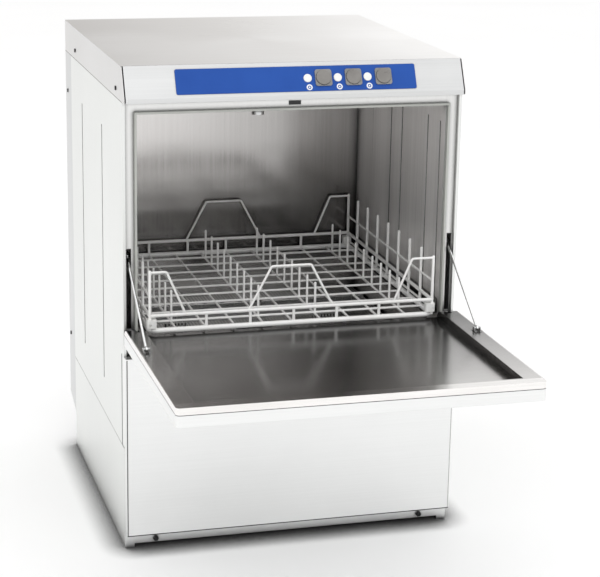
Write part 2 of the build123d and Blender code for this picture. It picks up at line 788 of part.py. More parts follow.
save("arm_posts", Part() + [arm_post(base_z, wash_z, up) for _, base_z, wash_z, up in ARM_SETS])

for name, _, wash_z, up in ARM_SETS:
    save(f"{name}_wash_arm", spray_arm(wash_z, up, WASH_HEIGHT, WASH_ARM))
    rinse_z = wash_z + up * (WASH_HEIGHT + ARM_GAP)
    save(f"{name}_rinse_arm", spray_arm(rinse_z, up, RINSE_HEIGHT, RINSE_ARM))

# ---- door -------------------------------------------------------------------------------------------

SLOT_HINGE_X = (266, 274)
HINGE_SLOT_PAST = 10
CORNER_RADIUS = 7
SEAM_GAP = 1


def hinge_slots():
    """Cuts the two end slots that the hinge brackets swing in."""
    for side in SIDES.values():
        side_block(
            side,
            SLOT_HINGE_X,
            (PIVOT_Y - HINGE_SLOT_PAST, DOOR_REAR + 1),
            (DOOR_BOTTOM + SHEET, DOOR_TOP + 1),
            Mode.SUBTRACT,
        )


def rack_way():
    """Cuts the hinge end down to the level of the liner's floor, where the rack crosses it."""
    half = HALF - RIM_WIDTH
    block((-half, DOOR_REAR - 2, FLOOR_TOP), (half, DOOR_REAR + 1, DOOR_TOP), Mode.SUBTRACT)


def door_outline(inset):
    """The door's outline, rounded at its two free corners and pulled in by an inset."""
    near, far = DOOR_REAR - inset, DOOR_FRONT + inset
    with BuildSketch() as outline:
        with Locations((0, (near + far) / 2)):
            Rectangle(2 * (HALF - inset), near - far)
        fillet(outline.vertices().group_by(Axis.Y)[0], max(CORNER_RADIUS - inset, 1))
    return outline.sketch


with BuildPart() as door_skin:
    """The outer pan of the door."""
    with BuildSketch(Plane.XY.offset(DOOR_BOTTOM)):
        add(door_outline(0))
    extrude(amount=DOOR_SEAM - SEAM_GAP / 2 - DOOR_BOTTOM)
    with BuildSketch(Plane.XY.offset(DOOR_BOTTOM + SHEET)):
        add(door_outline(SHEET))
    extrude(amount=DOOR_SEAM - DOOR_BOTTOM, mode=Mode.SUBTRACT)
    rack_way()
    hinge_slots()
save("door_skin", door_skin.part)

with BuildPart() as door_liner:
    """The inner pan: a raised rim on three sides round a floor that the rack rolls out on."""
    with BuildSketch(Plane.XY.offset(DOOR_SEAM + SEAM_GAP / 2)):
        add(door_outline(0))
    extrude(amount=DOOR_TOP - DOOR_SEAM - SEAM_GAP / 2)
    with BuildSketch(Plane.XY.offset(FLOOR_TOP - SHEET)):
        add(door_outline(SHEET + 0.3))
    extrude(amount=DOOR_SEAM - FLOOR_TOP + 2 * SHEET)
    rim_inner = HALF - RIM_WIDTH
    rim_front = DOOR_FRONT + RIM_FRONT
    block((-rim_inner, rim_front, FLOOR_TOP), (rim_inner, DOOR_REAR + 1, DOOR_TOP + 1), Mode.SUBTRACT)
    for side in SIDES.values():
        side_block(
            side,
            (rim_inner + SHEET, INSIDE - 1),
            (DOOR_FRONT + 2 * SHEET, PIVOT_Y + SHEET),
            (FLOOR_TOP - 2 * SHEET, DOOR_TOP - SHEET),
            Mode.SUBTRACT,
        )
    block(
        (-rim_inner - 2, DOOR_FRONT + 2 * SHEET, FLOOR_TOP - 2 * SHEET),
        (rim_inner + 2, rim_front - SHEET, DOOR_TOP - SHEET),
        Mode.SUBTRACT,
    )
    with BuildSketch(Plane.YZ.offset(-HALF - 1)):
        with Locations((DOOR_REAR, DOOR_TOP)):
            Rectangle(2 * DOOR_PAST_PIVOT, 2 * (DOOR_TOP - DOOR_SEAM))
        with Locations((PIVOT_Y, PIVOT_HEIGHT)):
            Circle(SWING_RADIUS, mode=Mode.SUBTRACT)
    extrude(amount=WIDTH + 2, mode=Mode.SUBTRACT)
    hinge_slots()
save("door_liner", door_liner.part)

with BuildPart() as door_edge_seal:
    """The dark strip in the seam between the two pans."""
    with BuildSketch(Plane.XY.offset(DOOR_SEAM - SEAM_GAP / 2)):
        add(door_outline(0.4))
        add(door_outline(SHEET), mode=Mode.SUBTRACT)
    extrude(amount=SEAM_GAP)
    rack_way()
    hinge_slots()
save("door_edge_seal", door_edge_seal.part)

GASKET_X = (264, 267.5)
GASKET_Z = (383, 743, 746.5)
GASKET_SQUEEZE = 0.5

with BuildPart() as door_gasket:
    """A rubber strip on the front frame, along both sides and the top of the opening."""
    gasket_y = (PIVOT_Y + LINER_ABOVE + GASKET_SQUEEZE, FLANGE_Y)
    for side in SIDES.values():
        side_block(side, GASKET_X, gasket_y, (GASKET_Z[0], GASKET_Z[2]))
    block((-GASKET_X[0], gasket_y[0], GASKET_Z[1]), (GASKET_X[0], gasket_y[1], GASKET_Z[2]))
save("door_gasket", door_gasket.part)

HINGE_PIN = 8
PIN_INNER_X = 259
PIN_COLLAR = (2, 4)

with BuildPart() as hinge_pins:
    """Two pins fixed inside the door, each with a collar against the outer pan."""
    for side in SIDES.values():
        collar = (HINGE_PIN / 2 + PIN_COLLAR[0], INSIDE - PIN_COLLAR[1])
        for radius, start in ((HINGE_PIN / 2, PIN_INNER_X), collar):
            with Locations(Location((side * (start + INSIDE) / 2, PIVOT_Y, PIVOT_HEIGHT), (0, 90, 0))):
                Cylinder(radius, INSIDE - start)
save("hinge_pins", hinge_pins.part)

BRACKET_X = (268, 272)
BRACKET_EYE = 7
BRACKET_FOOT_X = (264.5, 281)
BRACKET_FOOT_Z = (OPENING_BOTTOM + 1, PIVOT_HEIGHT + 13)
BRACKET_FOOT_THICK = 2


def hinge_bracket(side):
    """The arm on the front frame that holds one hinge pin."""
    x_low = min(side * BRACKET_X[0], side * BRACKET_X[1])
    with BuildPart() as bracket:
        with BuildSketch(Plane.YZ.offset(x_low)):
            with Locations((PIVOT_Y, PIVOT_HEIGHT)):
                Circle(BRACKET_EYE)
            with Locations(((PIVOT_Y + FLANGE_Y) / 2, PIVOT_HEIGHT)):
                Rectangle(FLANGE_Y - PIVOT_Y, 2 * BRACKET_EYE)
            with Locations((PIVOT_Y, PIVOT_HEIGHT)):
                Circle(HINGE_PIN / 2 + RUNNING_CLEARANCE, mode=Mode.SUBTRACT)
        extrude(amount=BRACKET_X[1] - BRACKET_X[0])
        side_block(side, BRACKET_FOOT_X, (FLANGE_Y - BRACKET_FOOT_THICK, FLANGE_Y), BRACKET_FOOT_Z)
    return bracket.part


save("hinge_brackets", Part() + [hinge_bracket(side) for side in SIDES.values()])

# ---- stay rods --------------------------------------------------------------------------------------

STAY_X = 277
STAY_REACH = 118
STAY_ABOVE = 26.6
YOKE_INNER = (271.3, 274.5)
YOKE_OUTER = (279.5, 282.7)
STAY_PIN = 4.8
STAY_ROD = 4
STAY_EYE = 7.8
STAY_ANGLE = 34.5
STAY_LENGTH = 204
STAY_EYE_WIDTH = 3
STAY_STOP = (12, 4)
STAY_STOP_DIAMETER = 11
YOKE_FOOT = 8
YOKE_LUG = 4
YOKE_HEIGHT = 7
STAY_Y = PIVOT_Y - STAY_REACH
STAY_Z = PIVOT_HEIGHT + STAY_ABOVE

with BuildPart() as stay_brackets:
    """A small yoke on each side of the door rim, with the cross pin that the stay rod hooks on."""
    for side in SIDES.values():
        for foot, lug in ((YOKE_INNER, YOKE_INNER[0]), (YOKE_OUTER, YOKE_OUTER[1] - SHEET)):
            foot_y = (STAY_Y - YOKE_FOOT, STAY_Y + YOKE_FOOT)
            lug_y = (STAY_Y - YOKE_LUG, STAY_Y + YOKE_LUG)
            side_block(side, foot, foot_y, (DOOR_TOP, DOOR_TOP + SHEET))
            side_block(side, (lug, lug + SHEET), lug_y, (DOOR_TOP, DOOR_TOP + YOKE_HEIGHT))
        pin_x = side * (YOKE_INNER[0] + YOKE_OUTER[1]) / 2
        with Locations(Location((pin_x, STAY_Y, STAY_Z), (0, 90, 0))):
            Cylinder(STAY_PIN / 2, YOKE_OUTER[1] - YOKE_INNER[0])
save("stay_brackets", stay_brackets.part)


def stay_rod(side):
    """A thin rod with an eye at the door and a stop collar inside the cabinet wall."""
    lean = Vector(0, cos(radians(STAY_ANGLE)), sin(radians(STAY_ANGLE)))
    start = Vector(side * STAY_X, STAY_Y, STAY_Z)
    eye = Plane(origin=start - Vector(STAY_EYE_WIDTH / 2, 0, 0), z_dir=(1, 0, 0))
    rod = Part() + Solid.make_cylinder(STAY_EYE / 2, STAY_EYE_WIDTH, eye)
    rod += bar(tuple(start + lean * STAY_EYE / 2), tuple(start + lean * STAY_LENGTH), STAY_ROD)
    stop = [tuple(start + lean * (STAY_LENGTH - back)) for back in STAY_STOP]
    rod += bar(*stop, STAY_STOP_DIAMETER)
    bore = STAY_PIN / 2 + RUNNING_CLEARANCE
    rod -= Solid.make_cylinder(bore, 3 * STAY_EYE_WIDTH, eye.offset(-STAY_EYE_WIDTH))
    return rod


for name, side in SIDES.items():
    save(f"stay_rod_{name}", stay_rod(side))

# ---- rack -------------------------------------------------------------------------------------------

RACK_HALF = RACK_SIZE / 2
RAIL_Z = (RACK_BOTTOM + 15, RACK_BOTTOM + 30, RACK_BOTTOM + 63)
GRID_PITCH = 50
POSTS_PER_SIDE = 9
CORNER_SIZE = 16
EDGE = RACK_HALF - RING_WIRE / 2 - 0.5
RACK_MIDDLE = (RACK_FRONT + RACK_BACK) / 2
BASE_Z = RACK_BOTTOM + RING_WIRE / 2

RACK_ENDS = (RACK_MIDDLE - EDGE, RACK_MIDDLE + EDGE)
POST_PITCH = 2 * EDGE / (POSTS_PER_SIDE - 1)
RING_BEND = 14


def rack_floor():
    """The lower rim of the rack with the crossed wires of its floor."""
    corners = [(x, y, BASE_Z) for x, y in ((-EDGE, RACK_ENDS[0]), (EDGE, RACK_ENDS[0]))]
    corners += [(x, y, BASE_Z) for x, y in ((EDGE, RACK_ENDS[1]), (-EDGE, RACK_ENDS[1]))]
    floor = Part() + bent_wire(corners, RING_WIRE, RING_BEND, close=True)
    wires = []
    for n in range(1, int(RACK_SIZE / GRID_PITCH)):
        at = -RACK_HALF + n * GRID_PITCH
        wires.append(bar((at, RACK_ENDS[0], BASE_Z - 0.5), (at, RACK_ENDS[1], BASE_Z - 0.5), THIN_WIRE))
        y = RACK_MIDDLE + at
        wires.append(bar((-EDGE, y, BASE_Z + 2), (EDGE, y, BASE_Z + 2), THIN_WIRE))
    return floor + wires


def rack_side(side, floor):
    """The upright posts of one side with its three long rails."""
    x = side * EDGE
    rails = [
        bar((x, RACK_ENDS[0], z), (x, RACK_ENDS[1], z), diameter)
        for z, diameter in zip(RAIL_Z, (THIN_WIRE, FRAME_WIRE, THIN_WIRE))
    ]
    posts = []
    for n in range(POSTS_PER_SIDE):
        y = RACK_ENDS[0] + n * POST_PITCH
        posts.append(peg((x, y, BASE_Z), (x, y, RACK_TOP), POST_WIRE))
    return Part() + rails + posts - floor


def rack_end(y, others):
    """The front or back of the rack: a rail on stubs, with the wire that keeps the end plates in place."""
    high = RACK_TOP - THIN_WIRE / 2 - 2
    low = RAIL_Z[1]
    profile = (
        (-EDGE, high),
        (-217, high),
        (-185, low),
        (-78, low),
        (-39, high),
        (29, high),
        (68, low),
        (176, low),
        (207, high),
        (EDGE, high),
    )
    end = Part() + bar((-EDGE, y, low), (EDGE, y, low), FRAME_WIRE)
    end += bent_wire([(x, y, z) for x, z in profile], THIN_WIRE, 5)
    for x in (-150, -75, 0, 75, 150):
        end += bar((x, y, BASE_Z), (x, y, low), POST_WIRE)
    for other in others:
        end -= other
    return end


def rack_pegs():
    """The rows of pegs that hold the plates apart."""
    pegs = []
    for x in (-200, -50, 50, 200):
        for n in range(1, int(RACK_SIZE / GRID_PITCH)):
            y = RACK_MIDDLE - RACK_HALF + n * GRID_PITCH
            pegs.append(peg((x, y, BASE_Z + THIN_WIRE), (x, y, RACK_BOTTOM + 60), THIN_WIRE))
    return Part() + pegs


floor_wires = rack_floor()
side_wires = {name: rack_side(side, floor_wires) for name, side in SIDES.items()}
neighbours = [floor_wires, *side_wires.values()]
end_wires = {"front": rack_end(RACK_ENDS[0], neighbours), "back": rack_end(RACK_ENDS[1], neighbours)}
save("rack_floor", floor_wires)
save("rack_sides", Part() + list(side_wires.values()))
save("rack_ends", Part() + list(end_wires.values()))
save("rack_pegs", rack_pegs())

WIRE_SLACK = 0.6

with BuildPart() as rack_corners:
    """The four moulded corner shoes, bored for the corner post and the low side rail."""
    shoe_low = BASE_Z + RING_WIRE / 2 + 0.3
    for x_side in SIDES.values():
        for y_side in (-1, 1):
            xs = sorted((x_side * RACK_HALF, x_side * (RACK_HALF - CORNER_SIZE)))
            ys = sorted(RACK_MIDDLE + y_side * d for d in (RACK_HALF, RACK_HALF - CORNER_SIZE))
            block((xs[0], ys[0], shoe_low), (xs[1], ys[1], RAIL_Z[0] + 9))
    fillet(rack_corners.edges().filter_by(Axis.Z), 4)
    for x_side in SIDES.values():
        for y in RACK_ENDS:
            with Locations((x_side * EDGE, y, RAIL_Z[0])):
                Cylinder((POST_WIRE + WIRE_SLACK) / 2, 4 * CORNER_SIZE, mode=Mode.SUBTRACT)
            with Locations(Location((x_side * EDGE, y, RAIL_Z[0]), (90, 0, 0))):
                Cylinder((THIN_WIRE + WIRE_SLACK) / 2, 4 * CORNER_SIZE, mode=Mode.SUBTRACT)
save("rack_corners", rack_corners.part)

# ---- machinery --------------------------------------------------------------------------------------

BOILER_RADIUS = 65
BOILER_Z = 110
BOILER_Y = 80
PAN_TOP = BASE_WEB_HEIGHT + SHEET

with BuildPart() as boiler:
    """The rinse boiler, lying across the base, with its heater flange and two cradles."""
    with Locations(Location((70, BOILER_Y, BOILER_Z), (0, 90, 0))):
        Cylinder(BOILER_RADIUS, 300)
        Cylinder(BOILER_RADIUS - 20, 316)
    for x in (-40, 180):
        block((x - 10, BOILER_Y - 45, PAN_TOP), (x + 10, BOILER_Y + 45, BOILER_Z - 40))
save("boiler", boiler.part)

PUMP_Y = -150
PUMP_Z = 105

with BuildPart() as wash_pump:
    """The wash pump: a volute with an upward outlet, on a round motor with a foot."""
    with Locations(Location((-60, PUMP_Y, PUMP_Z), (0, 90, 0))):
        Cylinder(55, 36)
    with Locations(Location((40, PUMP_Y, PUMP_Z), (0, 90, 0))):
        Cylinder(48, 164)
    with Locations((-60, PUMP_Y + 38, PUMP_Z + 44)):
        Cylinder(15, 60)
    block((-10, PUMP_Y - 40, PAN_TOP), (90, PUMP_Y + 40, PUMP_Z - 40))
save("wash_pump", wash_pump.part)

heater_path = [(-180, 190, 262), (-180, -200, 262), (-120, -200, 262), (-120, 190, 262)]
heater_loop = bent_wire(heater_path, 9, 20)

with BuildPart() as tank_heater:
    """The looped element that warms the tank water."""
    add(heater_loop)
save("tank_heater", tank_heater.part)

with BuildPart() as overflow_pipe:
    """The lift-out standpipe that sets the water level."""
    with Locations((110, 120, (TANK_FLOOR + SHEET + FILTER_Z) / 2 - 1)):
        Cylinder(16, FILTER_Z - TANK_FLOOR - SHEET - 2)
        Cylinder(13, 2 * FILTER_Z, mode=Mode.SUBTRACT)
save("overflow_pipe", overflow_pipe.part)

with BuildPart() as inlet_valve:
    """The water inlet: a threaded nose through the back and a solenoid valve behind it."""
    with Locations(Location((INLET_X, BASE_BACK - 16, SERVICE_Z), (90, 0, 0))):
        Cylinder(INLET_THREAD / 2 - 0.05, 84)
    with Locations(Location((INLET_X, BASE_BACK + 4, SERVICE_Z), (90, 0, 0))):
        Cylinder(INLET_THREAD / 2 + 4, 8)
    block(
        (INLET_X - 22, BASE_BACK - 78, SERVICE_Z - 15.5), (INLET_X + 22, BASE_BACK - 38, SERVICE_Z + 15.5)
    )
    with Locations(Location((INLET_X, BASE_BACK + 10, SERVICE_Z), (90, 0, 0))):
        Cylinder(8, 60, mode=Mode.SUBTRACT)
save("inlet_valve", inlet_valve.part)

with BuildPart() as drain_spigot:
    """The waste outlet: a pipe through the back, a collar against the sheet and a hose tail."""
    tail_end = DRAIN_COLLAR + DRAIN_TAIL_LENGTH
    for diameter, start, end in (
        (DRAIN_PIPE, -55, 0),
        (DRAIN_TAIL + 8, 0, DRAIN_COLLAR),
        (DRAIN_TAIL, DRAIN_COLLAR, tail_end),
    ):
        with Locations(Location((DRAIN_X, BASE_BACK + (start + end) / 2, SERVICE_Z), (90, 0, 0))):
            Cylinder(diameter / 2, end - start)
    with Locations(Location((DRAIN_X, BASE_BACK, SERVICE_Z), (90, 0, 0))):
        Cylinder(DRAIN_PIPE / 2 - 2, 3 * tail_end, mode=Mode.SUBTRACT)
save("drain_spigot", drain_spigot.part)

with BuildPart() as cable_gland:
    """The gland that the supply cable enters by."""
    with Locations(Location((CABLE_X, BASE_BACK, SERVICE_Z), (90, 0, 0))):
        Cylinder(GLAND_BORE / 2 - 0.05, 24)
    with Locations(Location((CABLE_X, BASE_BACK + 6, SERVICE_Z), (90, 0, 0))):
        Cylinder(14, 12)
        Cylinder(5.5, 80, mode=Mode.SUBTRACT)
save("cable_gland", cable_gland.part)

SCREW_HEAD = 7
SCREW_PROUD = 1.6
SIDE_SCREWS = ((FRONT + 55, 778), (FRONT + 471, 779), (FRONT + 563, 691), (FRONT + 569, 214))
REAR_SCREW_X = 262
REAR_SCREW_Z = (130, 420, 700)

with BuildPart() as cover_screws:
    """The dark round heads that hold the lid and the rear cover."""
    for side in SIDES.values():
        for y, z in SIDE_SCREWS:
            with Locations(Location((side * (HALF + SCREW_PROUD / 2), y, z), (0, 90, 0))):
                Cylinder(SCREW_HEAD / 2, SCREW_PROUD)
        for z in REAR_SCREW_Z:
            with Locations(Location((side * REAR_SCREW_X, BACK + SCREW_PROUD / 2, z), (90, 0, 0))):
                Cylinder(SCREW_HEAD / 2, SCREW_PROUD)
save("cover_screws", cover_screws.part)
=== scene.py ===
"""The looks of the undercounter dishwasher: materials, small visible details, floor, lights and camera."""

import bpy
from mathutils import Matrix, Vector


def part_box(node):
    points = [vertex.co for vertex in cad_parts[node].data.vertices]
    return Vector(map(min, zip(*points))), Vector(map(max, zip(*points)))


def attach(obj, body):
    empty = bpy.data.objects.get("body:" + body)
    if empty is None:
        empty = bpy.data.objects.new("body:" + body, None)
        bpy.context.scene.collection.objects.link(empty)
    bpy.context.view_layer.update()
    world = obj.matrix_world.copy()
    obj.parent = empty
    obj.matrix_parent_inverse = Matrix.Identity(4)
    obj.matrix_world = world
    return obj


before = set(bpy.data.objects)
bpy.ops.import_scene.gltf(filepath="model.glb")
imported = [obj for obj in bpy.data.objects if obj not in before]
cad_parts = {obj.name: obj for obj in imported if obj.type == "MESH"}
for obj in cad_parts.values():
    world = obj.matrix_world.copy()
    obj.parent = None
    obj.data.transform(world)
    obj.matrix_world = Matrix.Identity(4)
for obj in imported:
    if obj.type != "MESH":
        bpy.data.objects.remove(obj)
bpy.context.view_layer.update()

import math

import bpy
from mathutils import Matrix, Vector

# ---- node helpers -----------------------------------------------------------------------------------


def new_material(name):
    """An empty node material with a Principled shader wired to its output."""
    material = bpy.data.materials.new(name)
    material.use_nodes = True
    nodes = material.node_tree.nodes
    nodes.clear()
    shader = nodes.new("ShaderNodeBsdfPrincipled")
    output = nodes.new("ShaderNodeOutputMaterial")
    material.node_tree.links.new(shader.outputs["BSDF"], output.inputs["Surface"])
    return material, nodes, material.node_tree.links, shader


def place(nodes, links, scale, turn=(0, 0, 0)):
    """Object coordinates stretched by a scale in each direction."""
    coordinates = nodes.new("ShaderNodeTexCoord")
    mapping = nodes.new("ShaderNodeMapping")
    mapping.inputs["Scale"].default_value = scale
    mapping.inputs["Rotation"].default_value = turn
    links.new(coordinates.outputs["Object"], mapping.inputs["Vector"])
    return mapping.outputs["Vector"]


def noise(nodes, links, vector, scale, detail=4, roughness=0.5):
    """A noise pattern's value."""
    texture = nodes.new("ShaderNodeTexNoise")
    texture.inputs["Scale"].default_value = scale
    texture.inputs["Detail"].default_value = detail
    texture.inputs["Roughness"].default_value = roughness
    links.new(vector, texture.inputs["Vector"])
    return texture.outputs["Fac"]


def spread(nodes, links, value, low, high, start=0.3, end=0.7):
    """A value's range from start to end, mapped to low to high."""
    node = nodes.new("ShaderNodeMapRange")
    node.inputs["From Min"].default_value = start
    node.inputs["From Max"].default_value = end
    node.inputs["To Min"].default_value = low
    node.inputs["To Max"].default_value = high
    links.new(value, node.inputs["Value"])
    return node.outputs["Result"]


def blend_colours(nodes, links, factor, low, high):
    """A colour between two colours."""
    node = nodes.new("ShaderNodeMix")
    node.data_type = "RGBA"
    node.inputs["A"].default_value = (*low, 1)
    node.inputs["B"].default_value = (*high, 1)
    links.new(factor, node.inputs["Factor"])
    return node.outputs["Result"]


def mottled(nodes, links, value, low, high, start=0.3, end=0.7):
    """A colour that runs from low to high as a value runs from start to end."""
    return blend_colours(nodes, links, spread(nodes, links, value, 0, 1, start, end), low, high)


def add_values(nodes, links, first, second, operation="ADD"):
    """Two values put together by a sum, product or other operation."""
    node = nodes.new("ShaderNodeMath")
    node.operation = operation
    for socket, value in zip(node.inputs, (first, second)):
        if isinstance(value, (int, float)):
            socket.default_value = value
        else:
            links.new(value, socket)
    return node.outputs["Value"]


def relief(nodes, links, shader, height, strength, distance, edge_radius=0.0):
    """Bumps from a height, over softly rounded edges."""
    bump = nodes.new("ShaderNodeBump")
    bump.inputs["Strength"].default_value = strength
    bump.inputs["Distance"].default_value = distance
    links.new(height, bump.inputs["Height"])
    if edge_radius:
        bevel = nodes.new("ShaderNodeBevel")
        bevel.samples = 4
        bevel.inputs["Radius"].default_value = edge_radius
        links.new(bevel.outputs["Normal"], bump.inputs["Normal"])
    links.new(bump.outputs["Normal"], shader.inputs["Normal"])


# ---- materials --------------------------------------------------------------------------------------

EDGE_RADIUS = 0.0009
MOULDED_EDGE = 0.0004
LIP_WIDTH = 0.0025
# Painted light on the door's inner pan: the front painted highlight band, its fade and strength, and the
# painted shade towards the hinge.
FRONT_HIGHLIGHT = 0.019
HIGHLIGHT_FADE = 1.3
LIP_HIGHLIGHT = 1.35
HINGE_SHADE = 0.16
HINGE_REGION = 0.1
HOLE_PITCH = 0.006
FINE_SHARE = 0.35
SMEAR_SHARE = 0.65
FINE_DEPTH = 0.006
EVEN = (1, 1, 1)
GRAIN = {"x": (3, 420, 420), "y": (420, 3, 420), "z": (420, 420, 3)}


def painted_corner_shade(nodes, links, distance, darkest, start=0.35, end=0.95):
    """A painted shade factor that falls towards the darkest value in corners and joints."""
    occlusion = nodes.new("ShaderNodeAmbientOcclusion")
    occlusion.samples = 6
    occlusion.inputs["Distance"].default_value = distance
    return spread(nodes, links, occlusion.outputs["AO"], darkest, 1.0, start, end)


def darkened(nodes, links, colour, factor):
    """A colour multiplied by a factor."""
    node = nodes.new("ShaderNodeVectorMath")
    node.operation = "SCALE"
    links.new(colour, node.inputs["Vector"])
    links.new(factor, node.inputs["Scale"])
    return node.outputs["Vector"]


def brushed_steel(
    name,
    grain,
    tones,
    rough,
    waves=0.3,
    corner_shade_reach=0.008,
    darkest=0.25,
    smears=(2.6, 2.6, 2.6),
    metallic=1.0,
    painted_light=None,
):
    """Brushed stainless steel with its grain along one axis and wiped smears, with painted shade in corners
    and joints and any painted light gradient that is given.
    """
    material, nodes, links, shader = new_material(name)
    fine = noise(nodes, links, place(nodes, links, GRAIN[grain]), 1.0, 5, 0.6)
    smear = noise(nodes, links, place(nodes, links, smears), 1.0, 4, 0.55)
    tone = add_values(
        nodes,
        links,
        add_values(nodes, links, fine, FINE_SHARE, "MULTIPLY"),
        add_values(nodes, links, smear, SMEAR_SHARE, "MULTIPLY"),
    )
    steel = mottled(nodes, links, tone, *tones, 0.35, 0.65)
    # Painted shade: the steel's colour is darkened in corners, joints and recesses.
    shade = painted_corner_shade(nodes, links, corner_shade_reach, darkest)
    # Painted light: an optional gradient of painted highlight and shade multiplies the painted corner
    # shade.
    if painted_light:
        shade = add_values(nodes, links, shade, painted_light(nodes, links), "MULTIPLY")
    links.new(darkened(nodes, links, steel, shade), shader.inputs["Base Color"])
    shader.inputs["Metallic"].default_value = metallic
    rough_mix = add_values(
        nodes,
        links,
        spread(nodes, links, smear, rough - 0.04, rough + 0.06),
        spread(nodes, links, fine, -0.02, 0.02),
    )
    links.new(rough_mix, shader.inputs["Roughness"])
    shader.inputs["Anisotropic"].default_value = 0.35
    height = add_values(
        nodes,
        links,
        add_values(nodes, links, fine, FINE_DEPTH, "MULTIPLY"),
        add_values(nodes, links, smear, waves, "MULTIPLY"),
    )
    relief(nodes, links, shader, height, 0.3, 0.0008, EDGE_RADIUS)
    return material


def split_object(nodes, links):
    """The separate X, Y and Z of the object coordinates."""
    split = nodes.new("ShaderNodeSeparateXYZ")
    links.new(place(nodes, links, EVEN), split.inputs["Vector"])
    return split.outputs


def painted_light_fade(node, axis, first, last):
    """Painted light: a tone factor that changes evenly along one axis of a node's box, as a painted
    reflection gradient.
    """
    low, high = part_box(node)
    index = "XYZ".index(axis)

    def painted_light(nodes, links):
        along = split_object(nodes, links)[axis]
        return spread(nodes, links, along, first, last, low[index], high[index])

    return painted_light


def liner_painted_light(nodes, links):
    """A painted light factor over the door's inner pan: painted shade towards the hinge, painted highlight
    along its outer edges.
    """
    low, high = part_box("door_liner")
    at = split_object(nodes, links)
    hinge_shade_start = low[1] + FRONT_HIGHLIGHT
    hinge_shade_end = high[1] - HINGE_REGION * (high[1] - low[1])
    hinge_shade = spread(nodes, links, at["Y"], 1.0, HINGE_SHADE, hinge_shade_start, hinge_shade_end)
    across = add_values(nodes, links, at["X"], 0, "ABSOLUTE")
    side_lip = spread(nodes, links, across, 0, 1, high[0] - LIP_WIDTH, high[0] - LIP_WIDTH / 2)
    lip_end = low[1] + HIGHLIGHT_FADE * FRONT_HIGHLIGHT
    front_lip = spread(nodes, links, at["Y"], 1, 0, low[1] + FRONT_HIGHLIGHT, lip_end)
    lip = add_values(nodes, links, side_lip, front_lip, "MAXIMUM")
    highlight = add_values(nodes, links, lip, LIP_HIGHLIGHT, "MULTIPLY")
    return add_values(nodes, links, hinge_shade, highlight, "MAXIMUM")


def plastic(name, tones, rough, grain_scale=900, bump=0.12, coat=0.0):
    """Moulded plastic or rubber with a fine texture and slight mottling."""
    material, nodes, links, shader = new_material(name)
    vector = place(nodes, links, EVEN)
    mottle = noise(nodes, links, vector, 22, 4, 0.6)
    fine = noise(nodes, links, vector, grain_scale, 3, 0.5)
    links.new(mottled(nodes, links, mottle, *tones), shader.inputs["Base Color"])
    links.new(spread(nodes, links, mottle, rough - 0.05, rough + 0.07), shader.inputs["Roughness"])
    shader.inputs["Coat Weight"].default_value = coat
    shader.inputs["Coat Roughness"].default_value = 0.12
    relief(nodes, links, shader, fine, bump, 0.0002, MOULDED_EDGE)
    return material


def coated_wire(name):
    """White plastic-dipped wire: glossy, faintly uneven, a little yellowed where it has been wet."""
    material, nodes, links, shader = new_material(name)
    vector = place(nodes, links, EVEN)
    run = noise(nodes, links, vector, 38, 4, 0.55)
    stain = noise(nodes, links, vector, 7, 5, 0.6)
    coat = mottled(nodes, links, stain, (0.95, 0.95, 0.94), (0.88, 0.875, 0.85), 0.35, 0.75)
    links.new(coat, shader.inputs["Base Color"])
    links.new(spread(nodes, links, run, 0.24, 0.4), shader.inputs["Roughness"])
    shader.inputs["Subsurface Weight"].default_value = 0.06
    shader.inputs["Subsurface Radius"].default_value = (0.002, 0.002, 0.002)
    relief(nodes, links, shader, run, 0.2, 0.0006)
    return material


def fascia_film(name):
    """Blue printed film under a satin coat, with a fine linen grain."""
    material, nodes, links, shader = new_material(name)
    vector = place(nodes, links, EVEN)
    mottle = noise(nodes, links, vector, 14, 3, 0.5)
    fine = noise(nodes, links, vector, 1500, 2, 0.5)
    blue = mottled(nodes, links, mottle, (0.011, 0.068, 0.33), (0.015, 0.082, 0.375))
    links.new(blue, shader.inputs["Base Color"])
    links.new(spread(nodes, links, fine, 0.36, 0.46), shader.inputs["Roughness"])
    shader.inputs["Specular IOR Level"].default_value = 0.2
    shader.inputs["Coat Weight"].default_value = 0.06
    shader.inputs["Coat Roughness"].default_value = 0.2
    relief(nodes, links, shader, fine, 0.15, 0.0001, 0.0004)
    return material


def strainer_plate(name):
    """Steel punched with rows of fine round holes."""
    material, nodes, links, shader = new_material(name)
    vector = place(nodes, links, (1 / HOLE_PITCH, 1 / HOLE_PITCH, 1 / HOLE_PITCH))
    split = nodes.new("ShaderNodeSeparateXYZ")
    links.new(vector, split.inputs["Vector"])
    squares = None
    for axis in ("X", "Y"):
        part = add_values(nodes, links, split.outputs[axis], 1.0, "FRACT")
        off = add_values(nodes, links, part, 0.5, "SUBTRACT")
        square = add_values(nodes, links, off, off, "MULTIPLY")
        squares = square if squares is None else add_values(nodes, links, squares, square)
    hole = spread(nodes, links, squares, 0, 1, 0.055, 0.075)
    grain = noise(nodes, links, place(nodes, links, GRAIN["y"]), 1.0, 4, 0.6)
    steel = mottled(nodes, links, grain, (0.50, 0.50, 0.49), (0.66, 0.66, 0.65))
    mix = nodes.new("ShaderNodeMix")
    mix.data_type = "RGBA"
    # The holes are a real pattern; their near-black colour is painted shade for the dark seen through them.
    mix.inputs["A"].default_value = (0.01, 0.01, 0.01, 1)
    links.new(hole, mix.inputs["Factor"])
    links.new(steel, mix.inputs["B"])
    links.new(mix.outputs["Result"], shader.inputs["Base Color"])
    links.new(hole, shader.inputs["Metallic"])
    shader.inputs["Roughness"].default_value = 0.34
    relief(nodes, links, shader, hole, 0.6, 0.0008)
    return material


